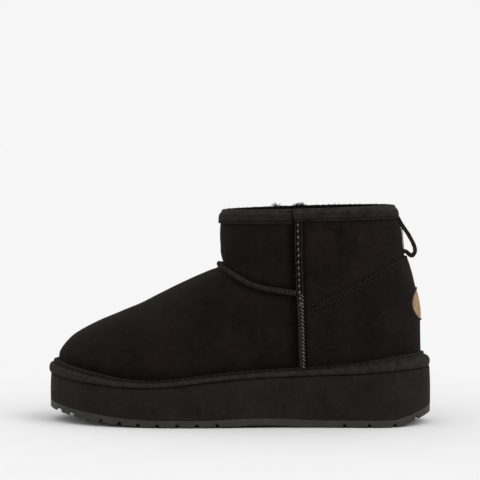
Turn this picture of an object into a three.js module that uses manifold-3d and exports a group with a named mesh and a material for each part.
// A left sheepskin ankle boot on a flatform sole: a hollow suede upper with its seams, bindings,
// counter, patch and pull loop, an insole, a welt band, a platform midsole and a treaded outsole.
// Millimetres, +Z up. While it is being made, X runs from the toe end of the platform (0) to its heel
// end, Y runs from the outer side (minus) to the inner side (plus), and the floor is Z = 0.
import * as THREE from "three";
import { mergeVertices } from "three/addons/utils/BufferGeometryUtils.js";
import Module from "manifold-3d";

// Platform and outsole
const SOLE_LENGTH = 269;
const BALL_WIDTH = 99;
const WAIST_WIDTH = 80;
const HEEL_WIDTH = 79;
const TOE_SWING = 5; // the toe's tip lies this far towards the inner side
const PLATFORM_AT_TOE = 34; // height of the platform's top edge, under the welt band
const PLATFORM_AT_BALL = 27.2;
const PLATFORM_AT_HEEL = 39.6;
const PLATFORM_FLARE = 0.5; // the platform's foot is this much wider than its top, each side
const OUTSOLE_THICKNESS = 5.2;
const TOE_SPRING = 9.4;
const HEEL_ROLL = 8;
const ARCH_LIFT = 1.5;
const TREAD_DEPTH = 2;
const TREAD_GROOVE = 2.6;
const TREAD_PITCH_TOE = 8.6;
const TREAD_PITCH_FRONT = 13.6;
const TREAD_PITCH_HEEL = 17;
const TREAD_WAVE = 4; // how far the grooves swing along the boot
const SOLE_BEVEL = 0.65; // small bevel under the outsole's edge and on top of the platform's

// Welt band
const BAND_HEIGHT = 10.6;
const BAND_PROUD = 1.4;

// Upper
const WALL = 3; // sheepskin hide with the pressed roots of its fleece
const TOE_INSET = 5.4; // from the platform's edge to the upper
const SIDE_INSET = 6.2;
const HEEL_INSET = 8.3;
const INSTEP_FROM_TOE = 120; // from the platform's toe end to the shaft's front
const INSTEP_HEIGHT = 109;
const HEEL_TOP_HEIGHT = 111; // where the back of the shaft begins
const HEEL_RAKE = 16.6; // how far the back leans forward between sole and collar
const BOOT_HEIGHT = 153;
const COLLAR_DIP = 3.4; // the collar is this much lower at the front
const COLLAR_BOW = 1.1; // power of its fall to the front
const COLLAR_WIDTH = 86;

// Overlays and trim
const SEAM_WIDTH = 5.6;
const SEAM_HEIGHT = 2.2;
const ROLL_WIDTH = 4.2;
const ROLL_HEIGHT = 2.7;
const COUNTER_THICKNESS = 1.6;
const TAPE = 1.1;
const BINDING_DEPTH = 9.5;
const LOOP_WIDTH = 9;
const LOOP_THICKNESS = 2.8;
const LOOP_REACH = 8.8;
const PATCH_WIDTH = 34;
const PATCH_HEIGHT = 23.5;
const PATCH_THICKNESS = 0.6;
const PATCH_CENTRE_HEIGHT = 83.2;
const INSOLE_THICKNESS = 6;
const INSOLE_BEVEL = 1.2;

const GAP = 0.3; // between pieces that touch on the real boot
const TAPE_ROUND = 0.35; // share of the tape's thickness that its folded top edge draws in

// How finely the curved pieces are cut
const AROUND_UPPER = 56;
const AROUND_SOLE = 68;
const HALF_TURN = Math.PI;
const FULL_TURN = 2 * Math.PI;

// Half widths of the platform, outer and inner side, as shares of the width named in span.
const SOLE_SIDES = [
  { at: 0.0, span: BALL_WIDTH, outer: 0.45, inner: 0.475 },
  { at: 0.15, span: BALL_WIDTH, outer: 0.478, inner: 0.492 },
  { at: 0.3, span: BALL_WIDTH, outer: 0.512, inner: 0.487 },
  { at: 0.45, span: BALL_WIDTH, outer: 0.487, inner: 0.44 },
  { at: 0.6, span: WAIST_WIDTH, outer: 0.54, inner: 0.455 },
  { at: 0.74, span: WAIST_WIDTH, outer: 0.505, inner: 0.455 },
  { at: 0.87, span: HEEL_WIDTH, outer: 0.505, inner: 0.49 },
  { at: 1.0, span: HEEL_WIDTH, outer: 0.48, inner: 0.48 },
];
const SOLE_TOE_ROUND = 0.235; // length of the rounded toe, as a share of the sole's length
const SOLE_HEEL_ROUND = 0.16;
const SOLE_BLUNT = 2.3;

// The platform's top edge along the boot: how much of the rise to the toe and to the heel it has,
// the welt band's height there as a share of its full height, and how far it stands proud as a share.
const PLATFORM_TOP = [
  { at: 0.0, toToe: 1.0, toHeel: 0.0, band: 0.88, proud: 1.0 },
  { at: 0.07, toToe: 0.56, toHeel: 0.0, band: 0.76, proud: 0.98 },
  { at: 0.14, toToe: 0.28, toHeel: 0.0, band: 0.62, proud: 0.95 },
  { at: 0.21, toToe: 0.06, toHeel: 0.0, band: 0.48, proud: 0.92 },
  { at: 0.27, toToe: 0.0, toHeel: 0.0, band: 0.44, proud: 0.9 },
  { at: 0.33, toToe: 0.0, toHeel: 0.07, band: 0.44, proud: 0.88 },
  { at: 0.4, toToe: 0.0, toHeel: 0.24, band: 0.45, proud: 0.85 },
  { at: 0.5, toToe: 0.0, toHeel: 0.48, band: 0.45, proud: 0.8 },
  { at: 0.63, toToe: 0.0, toHeel: 0.64, band: 0.48, proud: 0.75 },
  { at: 0.78, toToe: 0.0, toHeel: 0.75, band: 0.64, proud: 0.65 },
  { at: 0.88, toToe: 0.0, toHeel: 0.88, band: 0.83, proud: 0.45 },
  { at: 0.95, toToe: 0.0, toHeel: 0.96, band: 0.98, proud: 0.2 },
  { at: 1.0, toToe: 0.0, toHeel: 1.0, band: 1.0, proud: 0.1 },
];

// Where the outsole leaves the floor, as shares of the sole's length, and the powers of its rises.
const LIFTS = { toeAt: 0.29, toeCurve: 1.6, archFrom: 0.4, archTo: 0.74, heelAt: 0.905, heelCurve: 1.3 };

// The tread's grooves: first and last place as shares of the sole's length, and their pitch.
const GROOVE_ROWS = [
  { from: 0.036, to: 0.07, pitch: TREAD_PITCH_TOE },
  { from: 0.1, to: 0.49, pitch: TREAD_PITCH_FRONT },
  { from: 0.965, to: 0.76, pitch: -TREAD_PITCH_HEEL },
];
const GROOVE_REACH = 0.62; // past the widest part of the sole, as a share of the ball width

// Level sections of the upper. Level 0 is the feather edge on the sole, 1 the instep and 2 the collar.
// Lengthwise: front is the share of the way from the toe to the instep, back the share of the heel's
// rake, frontRound and backRound the rounded ends as shares of the section's length, blunt their power.
const PROFILE = [
  { at: 0.0, front: 0.0, back: 0.0, frontRound: 0.24, backRound: 0.16, blunt: 2.3 },
  { at: 0.15, front: 0.0, back: 0.0, frontRound: 0.25, backRound: 0.16, blunt: 2.25 },
  { at: 0.19, front: 0.004, back: 0.0, frontRound: 0.26, backRound: 0.162, blunt: 2.2 },
  { at: 0.23, front: 0.018, back: 0.002, frontRound: 0.275, backRound: 0.165, blunt: 2.15 },
  { at: 0.28, front: 0.042, back: 0.003, frontRound: 0.295, backRound: 0.168, blunt: 2.1 },
  { at: 0.34, front: 0.08, back: 0.005, frontRound: 0.325, backRound: 0.175, blunt: 2.05 },
  { at: 0.42, front: 0.16, back: 0.008, frontRound: 0.375, backRound: 0.19, blunt: 2.0 },
  { at: 0.5, front: 0.267, back: 0.015, frontRound: 0.42, backRound: 0.215, blunt: 2.0 },
  { at: 0.6, front: 0.424, back: 0.06, frontRound: 0.47, backRound: 0.255, blunt: 2.0 },
  { at: 0.7, front: 0.576, back: 0.14, frontRound: 0.51, backRound: 0.3, blunt: 2.0 },
  { at: 0.8, front: 0.714, back: 0.24, frontRound: 0.54, backRound: 0.345, blunt: 2.0 },
  { at: 0.9, front: 0.851, back: 0.335, frontRound: 0.55, backRound: 0.385, blunt: 2.0 },
  { at: 0.97, front: 0.953, back: 0.42, frontRound: 0.55, backRound: 0.41, blunt: 2.0 },
  { at: 1.02, front: 1.004, back: 0.475, frontRound: 0.545, backRound: 0.425, blunt: 2.0 },
  { at: 1.1, front: 1.016, back: 0.545, frontRound: 0.535, backRound: 0.44, blunt: 2.0 },
  { at: 1.3, front: 1.01, back: 0.61, frontRound: 0.515, backRound: 0.465, blunt: 2.0 },
  { at: 1.6, front: 1.004, back: 0.68, frontRound: 0.505, backRound: 0.49, blunt: 2.0 },
  { at: 2.0, front: 1.014, back: 1.0, frontRound: 0.5, backRound: 0.5, blunt: 2.0 },
];
// Widthwise: toShaft is 0 where a section is as wide as the sole and 1 where it is as wide as the
// shaft, girth is a share of the collar's width, swell how much wider the section is and lean how much
// further inwards its front lies, both as shares of the ball width.
const WIDTHS = [
  { at: 0.0, toShaft: 0.0, girth: 0.86, swell: 0.0, lean: 0.0 },
  { at: 0.15, toShaft: 0.02, girth: 0.87, swell: 0.013, lean: 0.0 },
  { at: 0.19, toShaft: 0.04, girth: 0.88, swell: 0.015, lean: 0.003 },
  { at: 0.23, toShaft: 0.06, girth: 0.88, swell: 0.016, lean: 0.008 },
  { at: 0.28, toShaft: 0.09, girth: 0.89, swell: 0.016, lean: 0.015 },
  { at: 0.34, toShaft: 0.14, girth: 0.9, swell: 0.013, lean: 0.023 },
  { at: 0.42, toShaft: 0.22, girth: 0.91, swell: 0.008, lean: 0.034 },
  { at: 0.5, toShaft: 0.32, girth: 0.92, swell: 0.004, lean: 0.045 },
  { at: 0.6, toShaft: 0.46, girth: 0.93, swell: 0.0, lean: 0.055 },
  { at: 0.7, toShaft: 0.6, girth: 0.945, swell: 0.0, lean: 0.06 },
  { at: 0.8, toShaft: 0.74, girth: 0.955, swell: 0.0, lean: 0.06 },
  { at: 0.9, toShaft: 0.86, girth: 0.965, swell: 0.0, lean: 0.055 },
  { at: 0.97, toShaft: 0.93, girth: 0.97, swell: 0.0, lean: 0.048 },
  { at: 1.02, toShaft: 0.96, girth: 0.975, swell: 0.0, lean: 0.042 },
  { at: 1.1, toShaft: 0.98, girth: 0.98, swell: 0.0, lean: 0.034 },
  { at: 1.3, toShaft: 1.0, girth: 0.99, swell: 0.0, lean: 0.018 },
  { at: 1.6, toShaft: 1.0, girth: 1.0, swell: 0.0, lean: 0.006 },
  { at: 2.0, toShaft: 1.0, girth: 1.0, swell: 0.0, lean: 0.0 },
];
const SAG_ENDS_AT = 0.7; // level above which the sections no longer follow the dished sole

// Rings of the upper's mesh, from the feather edge upwards.
const RING_STEPS = [
  { to: 0.15, steps: 2 },
  { to: 0.42, steps: 6 },
  { to: 0.9, steps: 6 },
  { to: 1.1, steps: 8 },
  { to: 1.79, steps: 3 },
  { to: 2.0, steps: 1 },
];

// The upright side seams in side view: share of the boot's height, and share of the sole's length.
const SIDE_SEAM = [
  { at: 0.25, along: 0.672 },
  { at: 0.45, along: 0.6685 },
  { at: 0.65, along: 0.6645 },
  { at: 0.85, along: 0.662 },
  { at: 1.0, along: 0.6615 },
];

// The rolled instep seam: share of the way round from the front to the side seam, and level.
const INSTEP_SEAM = [
  { at: 0.0, level: 1.035 },
  { at: 0.3, level: 0.99 },
  { at: 0.55, level: 0.919 },
  { at: 0.8, level: 0.82 },
  { at: 1.0, level: 0.766 },
];

// The counter's top edge: share of the way from side seam to centre back, and share of the boot's height.
const COUNTER_EDGE = [
  { at: 0.0, height: 0.554 },
  { at: 0.125, height: 0.5895 },
  { at: 0.285, height: 0.643 },
  { at: 0.455, height: 0.6985 },
  { at: 0.655, height: 0.741 },
  { at: 0.81, height: 0.762 },
  { at: 1.0, height: 0.768 },
];

// The pull loop's centre line: share of the way down from the binding to the counter, and share of
// its reach out from the upper.
const PULL_LOOP = [
  { down: 0.02, out: 0.17 },
  { down: 0.22, out: 0.22 },
  { down: 0.42, out: 0.48 },
  { down: 0.62, out: 0.77 },
  { down: 0.8, out: 0.95 },
  { down: 0.93, out: 0.91 },
  { down: 1.01, out: 0.71 },
  { down: 0.98, out: 0.53 },
  { down: 0.92, out: 0.39 },
  { down: 0.9, out: 0.25 },
  { down: 0.91, out: 0.1 },
];

// Cross section of the welt band: share of its width out from the upper, share of its height.
const BAND_SECTION = [
  { out: 0.0, up: 0.0 },
  { out: 0.84, up: 0.0 },
  { out: 0.96, up: 0.13 },
  { out: 1.0, up: 0.34 },
  { out: 0.95, up: 0.58 },
  { out: 0.77, up: 0.82 },
  { out: 0.5, up: 0.96 },
  { out: 0.0, up: 1.0 },
];

// Cross sections of the raised seams: shares of width and height.
const SEAM_SECTION = [
  { across: -0.5, up: 0.0 },
  { across: 0.0, up: 0.0 },
  { across: 0.5, up: 0.0 },
  { across: 0.46, up: 0.62 },
  { across: 0.24, up: 1.0 },
  { across: 0.0, up: 0.78 },
  { across: -0.24, up: 1.0 },
  { across: -0.46, up: 0.62 },
];
const ROLL_SECTION = [
  { across: -0.42, up: 0.0 },
  { across: 0.0, up: 0.0 },
  { across: 0.42, up: 0.0 },
  { across: 0.5, up: 0.4 },
  { across: 0.32, up: 0.83 },
  { across: 0.0, up: 1.0 },
  { across: -0.32, up: 0.83 },
  { across: -0.5, up: 0.4 },
];

// Cross section of the heel patch from its middle underneath to its middle on top: shares of its
// radius and of its thickness.
const PATCH_SECTION = [
  { radius: 0.35, thick: 0.0 },
  { radius: 0.7, thick: 0.0 },
  { radius: 1.0, thick: 0.0 },
  { radius: 1.0, thick: 0.6 },
  { radius: 0.93, thick: 1.0 },
  { radius: 0.5, thick: 1.0 },
];

// Cross section of the pull loop's tape: shares of half its thickness and of its width.
const LOOP_SECTION = [
  { thick: -0.9, wide: -0.36 },
  { thick: -0.9, wide: 0.36 },
  { thick: -0.36, wide: 0.5 },
  { thick: 0.36, wide: 0.5 },
  { thick: 0.9, wide: 0.36 },
  { thick: 0.9, wide: -0.36 },
  { thick: 0.36, wide: -0.5 },
  { thick: -0.36, wide: -0.5 },
];

const mix = (a, b, t) => a + (b - a) * t;
const clamp = (x, low, high) => Math.min(high, Math.max(low, x));
const smooth = (t) => clamp(t, 0, 1) ** 2 * (3 - 2 * clamp(t, 0, 1));

// One column of a table at a place, on a smooth curve through its rows that never overshoots them.
function read(table, column, place, value = (row) => row[column]) {
  const last = table.length - 1;
  const at = clamp(place, table[0].at, table[last].at);
  let i = 0;
  while (i < last - 1 && at > table[i + 1].at) i++;
  const step = (k) => table[k + 1].at - table[k].at;
  const slope = (k) => (value(table[k + 1]) - value(table[k])) / step(k);
  const tangent = (k) => {
    if (k === 0) return slope(0);
    if (k === last) return slope(last - 1);
    const before = slope(k - 1);
    const after = slope(k);
    return before * after <= 0 ? 0 : (2 * before * after) / (before + after);
  };
  const t = (at - table[i].at) / step(i);
  const rise = value(table[i + 1]) - value(table[i]);
  const start = tangent(i) * step(i);
  const end = tangent(i + 1) * step(i);
  return value(table[i]) + t * (start + t * (3 * rise - 2 * start - end + t * (start + end - 2 * rise)));
}

// The place between low and high where a rising function crosses zero.
function crossing(rising, low, high) {
  let [a, b] = [low, high];
  for (let i = 0; i < 40; i++) {
    const middle = (a + b) / 2;
    if (rising(middle) > 0) b = middle;
    else a = middle;
  }
  return (a + b) / 2;
}

// 0 at the very end of an outline, rising on a round curve to 1 where its side begins.
const roundedEnd = (t, power) => Math.sqrt(Math.max(0, 1 - (1 - clamp(t, 0, 1)) ** power));

// An angle round the boot: 0 is the front, half a turn the back; the first half is the outer side.
const shareAlong = (angle) => (1 - Math.cos(angle)) / 2;
const sideOf = (angle) => (Math.sin(angle) >= 0 ? "outer" : "inner");
const signOf = (angle) => (Math.sin(angle) >= 0 ? -1 : 1);
const anglesRound = (count) => Array.from({ length: count }, (_, i) => (FULL_TURN * i) / count);
const angles = anglesRound(AROUND_UPPER);

const soleSide = (x, side) => read(SOLE_SIDES, side, x / SOLE_LENGTH, (row) => row.span * row[side]);
const toeSwing = (x) => TOE_SWING * clamp(1 - x / (LIFTS.archFrom * SOLE_LENGTH), 0, 1) ** 2;

function platformTop(x) {
  const at = x / SOLE_LENGTH;
  const toToe = read(PLATFORM_TOP, "toToe", at) * (PLATFORM_AT_TOE - PLATFORM_AT_BALL);
  const toHeel = read(PLATFORM_TOP, "toHeel", at) * (PLATFORM_AT_HEEL - PLATFORM_AT_BALL);
  return PLATFORM_AT_BALL + toToe + toHeel;
}
const seat = (x) => platformTop(x) + GAP;
const bandHeight = (x) => BAND_HEIGHT * read(PLATFORM_TOP, "band", x / SOLE_LENGTH);
const bandProud = (x) => BAND_PROUD * read(PLATFORM_TOP, "proud", x / SOLE_LENGTH);

function outsoleFoot(x) {
  const at = x / SOLE_LENGTH;
  const toe = TOE_SPRING * clamp(1 - at / LIFTS.toeAt, 0, 1) ** LIFTS.toeCurve;
  const heel = HEEL_ROLL * clamp((at - LIFTS.heelAt) / (1 - LIFTS.heelAt), 0, 1) ** LIFTS.heelCurve;
  const arch = clamp((at - LIFTS.archFrom) / (LIFTS.archTo - LIFTS.archFrom), 0, 1);
  return toe + heel + ARCH_LIFT * Math.sin(HALF_TURN * arch) ** 2;
}

// A point of the platform's outline in plan, grown outwards by a length.
function outline(angle, grow) {
  const x = mix(-grow, SOLE_LENGTH + grow, shareAlong(angle));
  const toe = roundedEnd((x + grow) / (SOLE_TOE_ROUND * SOLE_LENGTH + grow), SOLE_BLUNT);
  const heel = roundedEnd((SOLE_LENGTH + grow - x) / (SOLE_HEEL_ROUND * SOLE_LENGTH + grow), SOLE_BLUNT);
  const half = (soleSide(x, sideOf(angle)) + grow) * toe * heel;
  return { x, y: toeSwing(x) + signOf(angle) * half };
}

// The outer surface of the upper: the last with the hide on it.
const HEEL_FEATHER = SOLE_LENGTH - HEEL_INSET;
const RIM_HEIGHT = BOOT_HEIGHT - TAPE - GAP; // the wall's own top edge, inside the binding
function lastPoint(angle, level) {
  const long = (column) => read(PROFILE, column, level);
  const wide = (column) => read(WIDTHS, column, level);
  const share = shareAlong(angle);
  const front = mix(TOE_INSET, INSTEP_FROM_TOE, long("front"));
  const back = HEEL_FEATHER - long("back") * HEEL_RAKE;
  const x = mix(front, back, share);
  const foot = soleSide(x, sideOf(angle)) - SIDE_INSET;
  const shaft = (wide("girth") * COLLAR_WIDTH) / 2;
  const side = mix(foot, shaft, wide("toShaft")) + wide("swell") * BALL_WIDTH;
  const toeEnd = roundedEnd(share / long("frontRound"), long("blunt"));
  const heelEnd = roundedEnd((1 - share) / long("backRound"), long("blunt"));
  const centre = toeSwing(x) + wide("lean") * BALL_WIDTH * (1 - share) ** 2;
  const dished = seat(mix(TOE_INSET, HEEL_FEATHER, share));
  const straight = mix(seat(TOE_INSET), seat(HEEL_FEATHER), share);
  const instep = mix(INSTEP_HEIGHT, HEEL_TOP_HEIGHT, share);
  const rim = RIM_HEIGHT - COLLAR_DIP * (1 - share) ** COLLAR_BOW;
  const sag = (dished - straight) * (1 - smooth(level / SAG_ENDS_AT));
  const z = level < 1 ? mix(straight, instep, level) + sag : mix(instep, rim, level - 1);
  return new THREE.Vector3(x, centre + signOf(angle) * side * toeEnd * heelEnd, z);
}

// Slopes and outward direction of that surface.
const ANGLE_STEP = 1e-3;
const LEVEL_STEP = 1e-3;
function slopes(angle, level) {
  const low = clamp(level - LEVEL_STEP, 0, 2);
  const high = clamp(level + LEVEL_STEP, 0, 2);
  const round = lastPoint(angle + ANGLE_STEP, level)
    .sub(lastPoint(angle - ANGLE_STEP, level))
    .divideScalar(2 * ANGLE_STEP);
  const up = lastPoint(angle, high)
    .sub(lastPoint(angle, low))
    .divideScalar(high - low);
  return { round, up, out: round.clone().cross(up).normalize() };
}
function onUpper(angle, level, out = 0) {
  return lastPoint(angle, level).addScaledVector(slopes(angle, level).out, out);
}
// The same, but offset level, for edges that must stay on the sole or in the collar's plane.
function onUpperLevel(angle, level, out) {
  const across = slopes(angle, level).out.setZ(0).normalize();
  return lastPoint(angle, level).addScaledVector(across, out);
}

const turned = (angle, side) => (side === "outer" ? angle : FULL_TURN - angle);
// Where a level meets an upright line of the side view, as an angle on the outer side.
function angleAt(level, lineAt, side) {
  const ahead = (angle) => {
    const p = lastPoint(turned(angle, side), level);
    return p.x - lineAt(p.z);
  };
  return crossing(ahead, 0, HALF_TURN);
}
// Where a line up the surface reaches a height that depends on x and on the angle.
function levelAt(angleOf, heightAt) {
  const above = (level) => {
    const angle = angleOf(level);
    const p = lastPoint(angle, level);
    return p.z - heightAt(p.x, angle);
  };
  return crossing(above, 0, 2);
}
const sideSeamLine = (z) => SOLE_LENGTH * read(SIDE_SEAM, "along", z / BOOT_HEIGHT);
const bindingFoot = (x) => {
  const share = clamp((x - INSTEP_FROM_TOE) / (HEEL_FEATHER - HEEL_RAKE - INSTEP_FROM_TOE), 0, 1);
  return BOOT_HEIGHT - COLLAR_DIP * (1 - share) ** COLLAR_BOW - BINDING_DEPTH;
};

// Closed surfaces from lists of points.
function solidGeometry(points, faces) {
  const volume = faces.reduce((sum, [a, b, c]) => {
    const cross = points[b].clone().cross(points[c]);
    return sum + points[a].dot(cross);
  }, 0);
  const facing = volume < 0 ? faces.map(([a, b, c]) => [a, c, b]) : faces;
  const geometry = new THREE.BufferGeometry().setFromPoints(points);
  geometry.setIndex(facing.flat());
  return geometry;
}
const quad = (a, b, c, d) => [
  [a, b, c],
  [a, c, d],
];

// Rings that follow one another and close on the first, each ring closed too.
function ringSolid(rings) {
  const count = rings[0].length;
  const faces = rings.flatMap((_, k) =>
    rings[k].flatMap((__, j) => {
      const [here, next] = [k * count, ((k + 1) % rings.length) * count];
      const after = (j + 1) % count;
      return quad(here + j, here + after, next + after, next + j);
    }),
  );
  return solidGeometry(rings.flat(), faces);
}

// Closed sections that follow one another along a strip, with both ends capped.
function stripSolid(sections) {
  const count = sections[0].length;
  const last = (sections.length - 1) * count;
  const faces = [];
  for (let k = 0; k < sections.length - 1; k++) {
    for (let j = 0; j < count; j++) {
      const after = (j + 1) % count;
      faces.push(...quad(k * count + j, k * count + after, (k + 1) * count + after, (k + 1) * count + j));
    }
  }
  for (let j = 1; j < count - 1; j++) {
    faces.push([0, j + 1, j]);
    faces.push([last, last + j, last + j + 1]);
  }
  return solidGeometry(sections.flat(), faces);
}

// A stack of outlines round the boot, closed below and above by rungs from side to side.
function blockSolid(rings) {
  const count = rings[0].length;
  const faces = [];
  for (let k = 0; k < rings.length - 1; k++) {
    for (let j = 0; j < count; j++) {
      const after = (j + 1) % count;
      faces.push(...quad(k * count + j, k * count + after, (k + 1) * count + after, (k + 1) * count + j));
    }
  }
  const top = (rings.length - 1) * count;
  for (let j = 0; j < count / 2; j++) {
    const [a, b] = [j, j + 1];
    const [c, d] = [(count - b) % count, (count - a) % count];
    for (const [p, q, r] of quad(a, b, c, d)) {
      if (p === q || q === r || r === p) continue;
      faces.push([p, r, q]);
      faces.push([top + p, top + q, top + r]);
    }
  }
  return solidGeometry(rings.flat(), faces);
}

// A sheet with two faces, given as rows of points for its outer and its inner face.
function sheetSolid(outer, inner) {
  const [rows, columns] = [outer.length, outer[0].length];
  const back = rows * columns;
  const at = (r, c) => r * columns + c;
  const faces = [];
  for (let r = 0; r < rows - 1; r++) {
    for (let c = 0; c < columns - 1; c++) {
      const corners = [at(r, c), at(r, c + 1), at(r + 1, c + 1), at(r + 1, c)];
      faces.push(...quad(...corners));
      faces.push(...quad(...corners.reverse().map((i) => back + i)));
    }
  }
  const rim = [];
  for (let c = 0; c < columns - 1; c++) rim.push(at(0, c));
  for (let r = 0; r < rows - 1; r++) rim.push(at(r, columns - 1));
  for (let c = columns - 1; c > 0; c--) rim.push(at(rows - 1, c));
  for (let r = rows - 1; r > 0; r--) rim.push(at(r, 0));
  rim.forEach((i, k) => {
    const next = rim[(k + 1) % rim.length];
    faces.push(...quad(next, i, back + i, back + next));
  });
  return solidGeometry([...outer, ...inner].flat(), faces);
}

// The angle and level reached by walking over the surface in a direction.
function walk(angle, level, direction, distance) {
  const strides = 4;
  let [a, l] = [angle, level];
  for (let i = 0; i < strides; i++) {
    const { round, up } = slopes(a, l);
    const [rr, ru, uu] = [round.dot(round), round.dot(up), up.dot(up)];
    const [rd, ud] = [round.dot(direction), up.dot(direction)];
    const whole = rr * uu - ru * ru;
    const stride = distance / strides;
    a += (stride * (rd * uu - ud * ru)) / whole;
    l += (stride * (ud * rr - rd * ru)) / whole;
  }
  return [a, l];
}

// A raised strip along a path on the upper: the path gives an angle and a level for each share.
// It stands square to the surface, evened out over a spread of levels where the surface is creased.
function ridgeSolid(path, steps, section, { width, height, spread }) {
  const sections = Array.from({ length: steps + 1 }, (_, k) => {
    const share = k / steps;
    const [angle, level] = path(share);
    const [nearAngle, nearLevel] = path(Math.max(0, share - 0.5 / steps));
    const [farAngle, farLevel] = path(Math.min(1, share + 0.5 / steps));
    const below = slopes(angle, level - spread).out;
    const above = slopes(angle, level + spread).out;
    const out = below.add(above).normalize();
    const forward = lastPoint(farAngle, farLevel).sub(lastPoint(nearAngle, nearLevel)).normalize();
    const across = out.clone().cross(forward).normalize();
    return section.map((point) => {
      const [a, l] = walk(angle, level, across, point.across * width);
      return onUpper(a, l, GAP).addScaledVector(out, point.up * height);
    });
  });
  return stripSolid(sections);
}

// Outsole: a slab that follows the floor, toe spring and heel roll, cut by the tread's grooves.
const outsoleTop = (x) => outsoleFoot(x) + OUTSOLE_THICKNESS;
function outlineRing(grow, heightAt) {
  return anglesRound(AROUND_SOLE).map((angle) => {
    const { x, y } = outline(angle, grow);
    return new THREE.Vector3(x, y, heightAt(clamp(x, 0, SOLE_LENGTH)));
  });
}
function grooveSolid(middle) {
  const reach = GROOVE_REACH * BALL_WIDTH;
  const swings = [-0.5, 0.5, -0.5, 0.5, -0.5, 0.5];
  const corners = [
    [-0.5, -TREAD_DEPTH],
    [0.5, -TREAD_DEPTH],
    [0.5, TREAD_DEPTH],
    [-0.5, TREAD_DEPTH],
  ];
  const sections = swings.map((swing, k) => {
    const x = middle + swing * TREAD_WAVE;
    const at = clamp(x, 1, SOLE_LENGTH - 1);
    const slope = Math.atan2(outsoleFoot(at + 1) - outsoleFoot(at - 1), 2);
    const along = new THREE.Vector3(Math.cos(slope), 0, Math.sin(slope));
    const down = new THREE.Vector3(Math.sin(slope), 0, -Math.cos(slope));
    const foot = new THREE.Vector3(x, mix(-reach, reach, k / (swings.length - 1)), outsoleFoot(at));
    return corners.map(([side, drop]) =>
      foot.clone().addScaledVector(along, side * TREAD_GROOVE).addScaledVector(down, drop),
    );
  });
  return stripSolid(sections);
}
function groovePlaces() {
  const places = [];
  for (const { from, to, pitch } of GROOVE_ROWS) {
    const count = Math.floor(((to - from) * SOLE_LENGTH) / pitch);
    for (let i = 0; i <= count; i++) places.push(from * SOLE_LENGTH + i * pitch);
  }
  return places;
}

const wasm = await Module();
wasm.setup();
function toManifold(geometry) {
  const merged = mergeVertices(geometry, 1e-4);
  return new wasm.Manifold(
    new wasm.Mesh({
      numProp: 3,
      vertProperties: merged.attributes.position.array,
      triVerts: new Uint32Array(merged.index.array),
    }),
  );
}
function fromManifold(solid) {
  const mesh = solid.getMesh();
  const geometry = new THREE.BufferGeometry();
  geometry.setAttribute("position", new THREE.BufferAttribute(mesh.vertProperties, 3));
  geometry.setIndex(new THREE.BufferAttribute(mesh.triVerts, 1));
  return geometry;
}
function outsoleGeometry() {
  const slab = blockSolid([
    outlineRing(PLATFORM_FLARE - SOLE_BEVEL, outsoleFoot),
    outlineRing(PLATFORM_FLARE, (x) => outsoleFoot(x) + SOLE_BEVEL),
    outlineRing(PLATFORM_FLARE, outsoleTop),
  ]);
  const cut = groovePlaces().reduce(
    (solid, place) => solid.subtract(toManifold(grooveSolid(place))),
    toManifold(slab),
  );
  return fromManifold(cut);
}

// Midsole: the platform block, from the outsole up to the seat of upper, insole and band.
function midsoleGeometry() {
  return blockSolid([
    outlineRing(PLATFORM_FLARE, (x) => outsoleTop(x) + GAP),
    outlineRing(PLATFORM_FLARE / 2, (x) => mix(outsoleTop(x), platformTop(x), 0.5)),
    outlineRing(0, (x) => platformTop(x) - SOLE_BEVEL),
    outlineRing(-SOLE_BEVEL, platformTop),
  ]);
}

// The band's top edge round the boot.
function bandTop(angle) {
  const { x } = outline(angle, 0);
  return seat(x) + bandHeight(x);
}

// Welt band: a roll round the platform's top edge, from its side to the upper.
function bandGeometry() {
  const rings = BAND_SECTION.map(({ out, up }) =>
    angles.map((angle) => {
      const { x } = outline(angle, 0);
      const rim = outline(angle, bandProud(x));
      const height = seat(x) + up * bandHeight(x);
      const level = levelAt(() => angle, () => height);
      const inner = onUpperLevel(angle, level, GAP);
      return inner.lerp(new THREE.Vector3(rim.x, rim.y, height), out).setZ(height);
    }),
  );
  return ringSolid(rings);
}

// Upper: one hollow wall, open at the collar and underneath.
function upperGeometry() {
  const levels = [0];
  for (const { to, steps } of RING_STEPS) {
    const from = levels[levels.length - 1];
    for (let i = 1; i <= steps; i++) levels.push(mix(from, to, i / steps));
  }
  const ring = (level, out) => {
    const place = level === 0 || level === 2 ? onUpperLevel : onUpper;
    return angles.map((angle) => place(angle, level, out));
  };
  const outer = levels.map((level) => ring(level, 0));
  const underBinding = levels.length - 2;
  const innerLevels = levels.filter((_, k) => k % 2 === 0 || k === underBinding);
  const inner = innerLevels.map((level) => ring(level, -WALL));
  return ringSolid([...outer, ...inner.reverse()]);
}

// Insole: a footbed inside the upper, on the midsole.
function insoleGeometry() {
  const ring = (inwards, up) =>
    angles.map((angle) => {
      const p = onUpperLevel(angle, 0, -WALL - GAP - inwards);
      return p.setZ(seat(p.x) + up);
    });
  const shoulder = INSOLE_THICKNESS - INSOLE_BEVEL;
  return blockSolid([ring(0, 0), ring(0, shoulder), ring(INSOLE_BEVEL, INSOLE_THICKNESS)]);
}

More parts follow.
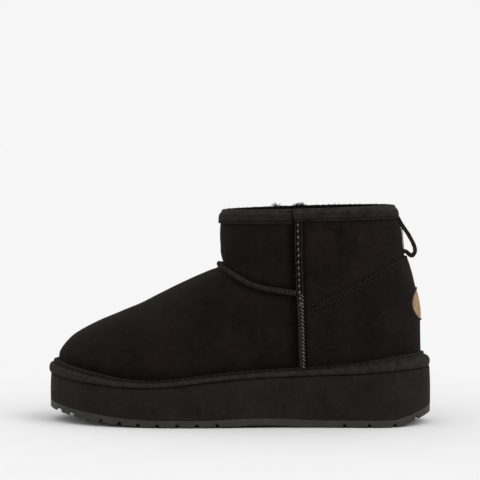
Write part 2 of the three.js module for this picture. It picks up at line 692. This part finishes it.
// Collar binding: tape folded over the wall's top edge.
function bindingGeometry() {
  const lowest = angles.map((angle) => levelAt(() => angle, bindingFoot));
  const face = (share, out) =>
    angles.map((angle, i) => {
      const level = mix(lowest[i], 2, share);
      return onUpperLevel(angle, level, out);
    });
  const over = (out, up) =>
    angles.map((angle) => {
      const p = onUpperLevel(angle, 2, out);
      return p.setZ(p.z + up);
    });
  const outside = GAP;
  const inside = -WALL - GAP;
  return ringSolid([
    face(0, outside),
    face(0, outside + TAPE),
    face(1, outside + TAPE),
    over(outside + TAPE * TAPE_ROUND, GAP + TAPE),
    over(inside - TAPE * TAPE_ROUND, GAP + TAPE),
    face(1, inside - TAPE),
    face(0, inside - TAPE),
    face(0, inside),
    over(inside, GAP),
    over(outside, GAP),
  ]);
}

// Side seams: upright raised seams from the welt band to the collar binding.
function sideSeamGeometry(side) {
  const angleOf = (level) => turned(angleAt(level, sideSeamLine, side), side);
  const foot = levelAt(angleOf, (_, angle) => bandTop(angle) + 2 * GAP);
  const head = levelAt(angleOf, (x) => bindingFoot(x) - GAP);
  const path = (share) => {
    const level = mix(foot, head, share);
    return [angleOf(level), level];
  };
  return ridgeSolid(path, 16, SEAM_SECTION, { width: SEAM_WIDTH, height: SEAM_HEIGHT, spread: 0.02 });
}

// Instep seam: a roll between vamp and shaft, from one side seam round the front to the other.
function instepSeamGeometry() {
  const beside = (z) => sideSeamLine(z) - SEAM_WIDTH / 2 - 3 * GAP;
  const endLevel = read(INSTEP_SEAM, "level", 1);
  const reach = {
    outer: angleAt(endLevel, beside, "outer"),
    inner: angleAt(endLevel, beside, "inner"),
  };
  const path = (share) => {
    const signed = 1 - 2 * share;
    const side = signed >= 0 ? "outer" : "inner";
    const away = Math.abs(signed);
    const angle = away * reach[side];
    return [side === "outer" ? angle : -angle, read(INSTEP_SEAM, "level", away)];
  };
  return ridgeSolid(path, 44, ROLL_SECTION, { width: ROLL_WIDTH, height: ROLL_HEIGHT, spread: 0.08 });
}

// Heel counter: the lower back panel, from side seam to side seam.
function counterGeometry() {
  const columns = 30;
  const rows = 6;
  const behind = (z) => sideSeamLine(z) + SEAM_WIDTH / 2 + GAP;
  const grid = [];
  for (let c = 0; c <= columns; c++) {
    const share = c / columns;
    const angleOf = (level) => {
      const start = angleAt(level, behind, "outer");
      const end = FULL_TURN - angleAt(level, behind, "inner");
      return mix(start, end, share);
    };
    const away = 1 - Math.abs(2 * share - 1);
    const foot = levelAt(angleOf, (_, angle) => bandTop(angle) + 2 * GAP);
    const head = levelAt(angleOf, () => BOOT_HEIGHT * read(COUNTER_EDGE, "height", away));
    grid.push(
      Array.from({ length: rows + 1 }, (_, r) => {
        const level = mix(foot, head, r / rows);
        return [angleOf(level), level];
      }),
    );
  }
  const face = (out) => grid.map((column) => column.map(([angle, level]) => onUpper(angle, level, out)));
  return sheetSolid(face(GAP + COUNTER_THICKNESS), face(2 * GAP));
}
const counterTopAtBack = BOOT_HEIGHT * read(COUNTER_EDGE, "height", 1);

// Heel patch: an oval on the counter.
function patchGeometry() {
  const spokes = 24;
  const base = COUNTER_THICKNESS + 2 * GAP;
  const centre = levelAt(() => HALF_TURN, () => PATCH_CENTRE_HEIGHT);
  const { round, up } = slopes(HALF_TURN, centre);
  const place = (radius, spoke, out) => {
    const turn = (FULL_TURN * spoke) / spokes;
    const across = (radius * Math.cos(turn) * PATCH_WIDTH) / 2;
    const rise = (radius * Math.sin(turn) * PATCH_HEIGHT) / 2;
    return onUpper(HALF_TURN + across / round.length(), centre + rise / up.length(), base + out);
  };
  const rings = PATCH_SECTION.map(({ radius, thick }) =>
    Array.from({ length: spokes }, (_, k) => place(radius, k, thick * PATCH_THICKNESS)),
  );
  const points = [place(0, 0, 0), ...rings.flat(), place(0, 0, PATCH_THICKNESS)];
  const last = points.length - 1;
  const faces = [];
  for (let k = 0; k < spokes; k++) {
    const after = (k + 1) % spokes;
    faces.push([0, 1 + after, 1 + k]);
    for (let r = 0; r < rings.length - 1; r++) {
      const [here, next] = [1 + r * spokes, 1 + (r + 1) * spokes];
      faces.push(...quad(here + k, here + after, next + after, next + k));
    }
    const rim = 1 + (rings.length - 1) * spokes;
    faces.push([last, rim + k, rim + after]);
  }
  return solidGeometry(points, faces);
}

// Pull loop: a tape from under the binding, out and down, back in above the counter.
function loopGeometry() {
  const steps = 26;
  const top = bindingFoot(HEEL_FEATHER) - GAP;
  const foot = counterTopAtBack + GAP;
  const points = PULL_LOOP.map(({ down, out }) => {
    const height = mix(top, foot, down);
    const level = levelAt(() => HALF_TURN, () => height);
    const wall = lastPoint(HALF_TURN, level);
    return new THREE.Vector3(wall.x + GAP + out * LOOP_REACH, wall.y, height);
  });
  const curve = new THREE.CatmullRomCurve3(points);
  const half = LOOP_THICKNESS / 2;
  const sections = Array.from({ length: steps + 1 }, (_, k) => {
    const at = curve.getPointAt(k / steps);
    const forward = curve.getTangentAt(k / steps);
    const across = new THREE.Vector3(forward.z, 0, -forward.x);
    return LOOP_SECTION.map(({ thick, wide }) => {
      const p = at.clone().addScaledVector(across, thick * half);
      return p.setY(p.y + wide * LOOP_WIDTH);
    });
  });
  return stripSolid(sections);
}

// Materials
const suede = (color, roughness) => new THREE.MeshStandardMaterial({ color, roughness, metalness: 0 });
const materials = {
  upper: suede(0x1c1817, 0.95),
  trim: suede(0x262624, 0.92),
  platform: suede(0x24201e, 0.9),
  fleece: suede(0x1a1817, 1),
  rubber: suede(0x3a3937, 0.75),
  patch: suede(0x8d6b45, 0.7),
};

const boot = new THREE.Group();
function add(name, geometry, material) {
  const bare = geometry.index ? geometry.toNonIndexed() : geometry;
  bare.computeVertexNormals();
  const mesh = new THREE.Mesh(bare, material);
  mesh.name = name;
  boot.add(mesh);
}
add("outsole", outsoleGeometry(), materials.rubber);
add("midsole", midsoleGeometry(), materials.platform);
add("welt_band", bandGeometry(), materials.trim);
add("insole", insoleGeometry(), materials.fleece);
add("upper", upperGeometry(), materials.upper);
add("collar_binding", bindingGeometry(), materials.trim);
add("side_seam_outer", sideSeamGeometry("outer"), materials.trim);
add("side_seam_inner", sideSeamGeometry("inner"), materials.trim);
add("instep_seam", instepSeamGeometry(), materials.trim);
add("heel_counter", counterGeometry(), materials.upper);
add("heel_patch", patchGeometry(), materials.patch);
add("pull_loop", loopGeometry(), materials.trim);

// The origin is on the floor, under the middle of the whole boot.
const reach = new THREE.Box3().setFromObject(boot);
const middle = reach.getCenter(new THREE.Vector3());
boot.position.set(-middle.x, -middle.y, -reach.min.z);

export default boot;
